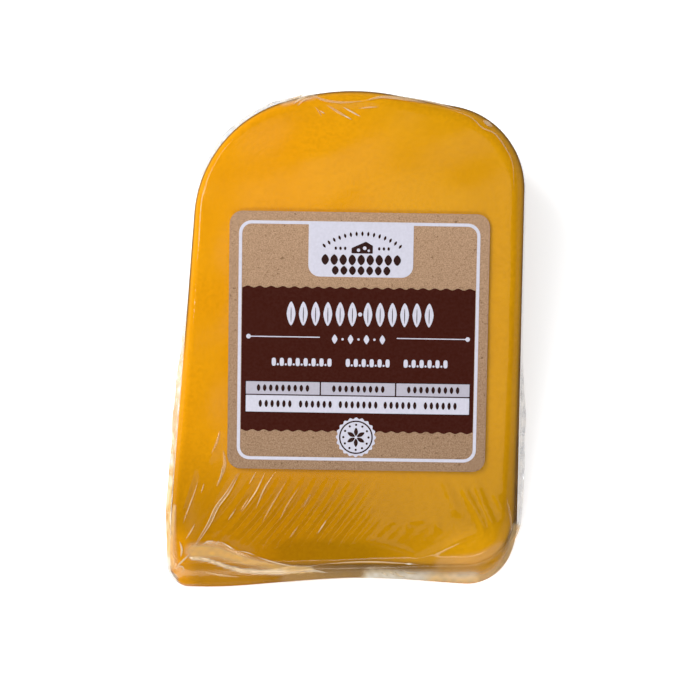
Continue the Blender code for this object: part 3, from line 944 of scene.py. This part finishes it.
def film_material():
    """Clear film: a mirror-like gloss that grows at glancing angles as facing ** 5, and pale or warm haze
    where the film lies loose, which along the pleats and on a few patches is painted highlight and painted
    light. The shader is a mirror where there is no haze."""
    material, tree, shader = node_material("clear_film")
    # The haze mark is partly painted highlight and painted light
    haze_and_highlight = mark_value(tree, "haze_and_highlight")
    tone = ramp(tree, mark_value(tree, "warmth"), HAZE_COLOURS)
    share = math_node(tree, "DIVIDE", haze_and_highlight, math_node(tree, "ADD", haze_and_highlight, FILM_GLOSS))
    colour = blend_colours(tree, share, (0.97, 0.97, 0.97), tone)
    tree.links.new(colour, shader.inputs["Base Color"])
    tree.links.new(math_node(tree, "SUBTRACT", 1.0, share), shader.inputs["Metallic"])
    shader.inputs["Roughness"].default_value = 0.1
    glancing = tree.nodes.new("ShaderNodeLayerWeight")
    glancing.inputs["Blend"].default_value = 0.5
    steep = math_node(tree, "POWER", glancing.outputs["Facing"], 5.0)
    gloss = math_node(tree, "MULTIPLY_ADD", steep, GLANCING_GLOSS, FILM_GLOSS)
    cover = math_node(tree, "ADD", haze_and_highlight, gloss, clamp=True)
    clear = tree.nodes.new("ShaderNodeBsdfTransparent")
    mix = tree.nodes.new("ShaderNodeMixShader")
    tree.links.new(cover, mix.inputs["Fac"])
    tree.links.new(clear.outputs["BSDF"], mix.inputs[1])
    tree.links.new(shader.outputs["BSDF"], mix.inputs[2])
    tree.links.new(mix.outputs["Shader"], tree.nodes["Material Output"].inputs["Surface"])
    return material


def paper_material():
    """Kraft paper: warm brown, finely speckled with pale and dark fibres, with painted shade darker down the
    label and painted light up it, by a ramp over 14 y + 0.5."""
    material, tree, shader = node_material("kraft_paper")
    browns = [(0.34, (0.29, 0.18, 0.108)), (0.5, (0.38, 0.238, 0.143)), (0.66, (0.46, 0.30, 0.195))]
    tone = ramp(tree, grain(tree, 3600, 2.0), browns)
    specks = ramp(tree, grain(tree, 1100, 2.0), [(0.25, (0.55, 0.5, 0.45)), (0.36, (1.0, 1.0, 1.0))])
    place = tree.nodes.new("ShaderNodeTexCoord")
    split = tree.nodes.new("ShaderNodeSeparateXYZ")
    tree.links.new(place.outputs["Object"], split.inputs["Vector"])
    upwards = math_node(tree, "MULTIPLY_ADD", split.outputs["Y"], 14.0, 0.5)
    # Painted shade darker down the label, and painted light up it
    fade = ramp(tree, upwards, [(0.0, (0.88, 0.87, 0.85)), (1.0, (1.20, 1.19, 1.17))])
    for layer in (specks, fade):
        tone = blend_colours(tree, 1.0, tone, layer, "MULTIPLY")
    tree.links.new(tone, shader.inputs["Base Color"])
    shader.inputs["Roughness"].default_value = 0.7
    shader.inputs["Specular IOR Level"].default_value = 0.2
    return material


def ink_material(name, colour):
    """A flat ink, very slightly uneven."""
    material, tree, shader = node_material(name)
    thin = tuple(min(1.0, value * 1.06 + 0.004) for value in colour)
    tone = ramp(tree, grain(tree, 1500, 3.0), [(0.35, colour), (0.65, thin)])
    tree.links.new(tone, shader.inputs["Base Color"])
    shader.inputs["Roughness"].default_value = 0.55
    shader.inputs["Specular IOR Level"].default_value = 0.06
    return material


# The floor's half width, how far it lies below the wedge, and its own glow
FLOOR_HALF = 3.0
FLOOR_BELOW = 0.0001
FLOOR_GLOW = 0.55

# Lights: name, place, the point it is turned to, width, height, power, and whether reflections show it
MIDDLE = (0, 0, 0.02)
LIGHTS = (
    ("front_box", (0.09, -0.31, 0.557), (0.09, 0, 0.02), 0.32, 0.40, 0.182, True),
    ("key", (-0.62, 0.45, 0.62), MIDDLE, 0.45, 0.45, 6.35, False),
    ("overhead", (0.0, 0.2, 0.9), MIDDLE, 0.9, 0.9, 3.1, False),
    ("front_fill", (-0.4, -0.75, 0.45), MIDDLE, 0.7, 0.5, 3.0, False),
    ("front_strip", (-0.15, -0.75, 0.35), MIDDLE, 0.8, 0.12, 1.0, True),
    ("ripple_box", (-0.30, -0.12, 0.70), MIDDLE, 0.14, 0.2, 0.55, True),
)

# Camera: its height over the horizon, distance, the point it looks at in millimetres, and its focal length in
# pixels of a 700 pixel wide picture
CAMERA_ELEVATION = math.radians(80)
CAMERA_DISTANCE = 0.55
CAMERA_TARGET = (0.93, -4.5, 19.3)
FOCAL_PIXELS = 2229.7
IMAGE_WIDTH = 700
SENSOR_WIDTH = 36.0


def add_area(name, place, aim, width, height, power, glossy):
    """A soft rectangular light at a place, turned towards a point."""
    light = bpy.data.lights.new(name, "AREA")
    light.shape = "RECTANGLE"
    light.size = width
    light.size_y = height
    light.energy = power
    lamp = bpy.data.objects.new(name, light)
    lamp.location = place
    lamp.rotation_euler = (Vector(aim) - Vector(place)).to_track_quat("-Z", "Y").to_euler()
    lamp.visible_glossy = glossy
    bpy.context.scene.collection.objects.link(lamp)


def studio():
    """A pale floor, a pale horizon under a dark ceiling, soft lights, and the camera."""
    mesh = bpy.data.meshes.new("floor")
    half = FLOOR_HALF
    mesh.from_pydata([(-half, -half, 0), (half, -half, 0), (half, half, 0), (-half, half, 0)], [], [range(4)])
    floor = bpy.data.objects.new("floor", mesh)
    floor.location = (0, 0, -FLOOR_BELOW)
    floor.visible_glossy = False
    material, _, shader = node_material("studio_floor")
    shader.inputs["Base Color"].default_value = (0.93, 0.93, 0.93, 1)
    shader.inputs["Roughness"].default_value = 0.9
    shader.inputs["Emission Color"].default_value = (1, 1, 1, 1)
    shader.inputs["Emission Strength"].default_value = FLOOR_GLOW
    mesh.materials.append(material)
    bpy.context.scene.collection.objects.link(floor)

    world = bpy.data.worlds.new("studio")
    world.use_nodes = True
    bpy.context.scene.world = world
    tree = world.node_tree
    way = tree.nodes.new("ShaderNodeTexCoord")
    split = tree.nodes.new("ShaderNodeSeparateXYZ")
    tree.links.new(way.outputs["Generated"], split.inputs["Vector"])
    sky = [(0.0, (0.4, 0.4, 0.41)), (0.35, (0.4, 0.4, 0.41)), (0.6, (0.02, 0.02, 0.022))]
    tone = ramp(tree, split.outputs["Z"], sky)
    tree.links.new(tone, tree.nodes["Background"].inputs["Color"])

    for light in LIGHTS:
        add_area(*light)

    camera = bpy.data.cameras.new("camera")
    camera.sensor_width = SENSOR_WIDTH
    camera.lens = SENSOR_WIDTH * FOCAL_PIXELS / IMAGE_WIDTH
    camera.clip_start = 0.01
    view = bpy.data.objects.new("camera", camera)
    back = Vector((0, -math.cos(CAMERA_ELEVATION), math.sin(CAMERA_ELEVATION)))
    view.location = Vector(CAMERA_TARGET) * MM + back * CAMERA_DISTANCE
    view.rotation_euler = back.to_track_quat("Z", "Y").to_euler()
    bpy.context.scene.collection.objects.link(view)
    bpy.context.scene.camera = view
    bpy.context.scene.view_settings.view_transform = "Standard"


def film_pieces():
    """The film's skin and its sharp pleats, with haze, partly painted highlight and painted light, and warmth
    at each vertex.
    """
    rings, flats, out, on_face = skin_rings(0.0, True)
    foot = lower_outline(FILM_STEP)
    around = way_round(foot)
    seam_haze = np.full_like(around, SEAM_HAZE)
    seam_warmth = np.full_like(around, SEAM_WARMTH)
    for (middle, half_length, _), looks in zip(SEAM_STRETCHES, STRETCH_LOOKS):
        near = smooth(STRETCH_EDGE * (1 - np.abs((around - middle + 0.5) % 1 - 0.5) / half_length))
        heights, hazes, warmths = np.array(looks).T
        seam_haze += (np.interp(foot[:, 1], heights * MM, hazes) - seam_haze) * near
        seam_warmth += (np.interp(foot[:, 1], heights * MM, warmths) - seam_warmth) * near
    crinkles = CRINKLES * waves(rings * CRINKLE_DRAW, CRINKLE_LENGTH, 14)
    haze_and_highlight = WALL_HAZE * (1 - on_face)
    haze_and_highlight += (seam_haze * (1 + crinkles) - haze_and_highlight) * out
    warmth = WALL_WARMTH + (np.clip(seam_warmth - crinkles, 0, 1) - WALL_WARMTH) * out
    upper = np.arange(len(rings)) >= UNDERSIDE_RINGS
    # Hazy patches, the second a painted highlight and the sixth painted light
    for path, start_width, end_width, amount, warm in HAZE_AND_LIGHT_PATCHES:
        near = patch(flats, path, start_width, end_width) * upper[:, None]
        near = near * np.clip(1 + MOTTLE * waves(flats, MOTTLE_LENGTH, 21), 0, 2)
        warmth += (warm - warmth) * near
        haze_and_highlight += (np.maximum(amount, haze_and_highlight) - haze_and_highlight) * near
    beads, bead_hazes, bead_warmths = [], [], []
    # The pleats' haze is mostly a painted highlight along each fold
    for path, half_width, rise, amount, warm in PLEATS:
        bead, swell = pleat_rings(path, half_width, rise)
        beads.append(bead)
        bead_hazes.append(amount * swell)
        bead_warmths.append(np.full(len(swell), warm))
    pleat_marks = {"haze_and_highlight": np.concatenate(bead_hazes), "warmth": np.concatenate(bead_warmths)}
    material = film_material()
    return [
        make_piece("film", [rings], material, marks={"haze_and_highlight": haze_and_highlight, "warmth": warmth}),
        make_piece("film_pleats", beads, material, marks=pleat_marks),
    ]


def cheese_piece():
    """The cheese inside the film, with its rind on the walls, painted shade in the rind's brown on the tip's
    wall, and painted shade on its lower face and towards its flat side.
    """
    rings, flats, _, on_face = skin_rings(FILM_GAP, False)
    x, v = flats[..., 0], flats[..., 1]
    up_wall = rings[..., 2] / rings[..., 2].max(axis=0)
    from_foot = np.linalg.norm(flats - lower_outline(FILM_STEP), axis=-1)
    tip = tipness(flats)
    rind_and_shade = smooth(RIND_FADE * (RIND_END - on_face)) * (1 - tip * (1 - come_in(x, RIND_CORNER)))
    rind_and_shade *= 1 - tip * come_in(from_foot, RIND_RIM)
    pale_side = come_in(x, PALE_SIDE_X) * come_in(v, PALE_SIDE_V)
    rind_and_shade *= 1 - pale_side * smooth((up_wall - PALE_WALL) / PALE_WALL_BLEND)
    # Painted shade in the rind's brown on the tip's wall
    shaded = TIP_SHADE * tip * (1 - on_face) * bump(x, 1.0, TIP_SHADE_X, TIP_SHADE_SPREAD)
    rind_and_shade = np.maximum(rind_and_shade, shaded)
    # Painted shade on the face: darker down it, at the tip, low in its middle and at the rim, easing at the
    # tip's corners
    dark = TIP_FACE_SHADE * come_in(v, TIP_SPAN) * (1 - RIGHT_SHADE_EASE * come_in(x, RIGHT_SPAN))
    dark += DOWN_FACE_SHADE * come_in(v, DOWN_SPAN) + RIM_FACE_SHADE * come_in(v, RIM_SPAN)
    dark += LOW_FACE_SHADE * come_in(v, LOW_SPAN) * come_in(x, LOW_LEFT) * come_in(x, LOW_RIGHT)
    corners = come_in(x, DOMED_CORNER) + come_in(x, FLAT_CORNER)
    dark *= 1 - CORNER_SHADE_EASE * come_in(v, CORNER_V) * corners
    marks = {"rind_and_shade": rind_and_shade, "dark": dark, "side": come_in(x, SIDE_SHADE_SPAN)}
    return make_piece("cheese", [rings], cheese_material(), marks=marks)


def label_pieces():
    """The paper and its inks."""
    light, grey, dark = print_parts()
    line_ink = ink_material("white_line_ink", (0.63, 0.62, 0.71))
    brown_ink = ink_material("brown_ink", (0.048, 0.0075, 0.0035))
    return [
        make_piece("label_paper", [paper_rings()], paper_material()),
        make_piece("label_line", [frame_line()], line_ink, loop=True),
        make_piece("label_band", [slab(band_outline(), FIELD, 10)], brown_ink),
        make_piece("label_print_light", light, ink_material("white_ink", (0.62, 0.61, 0.70))),
        make_piece("label_print_grey", grey, ink_material("grey_ink", (0.47, 0.45, 0.52))),
        make_piece("label_print_dark", dark, ink_material("dark_ink", (0.030, 0.010, 0.008))),
    ]


def main():
    """Puts the wedge's and the label's pieces in place of their solids, in the studio."""
    for piece in (*film_pieces(), cheese_piece()):
        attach(piece, "root")
        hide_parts("wrapped_wedge")
    for piece in label_pieces():
        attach(piece, "root")
        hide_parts("label")
    studio()


main()
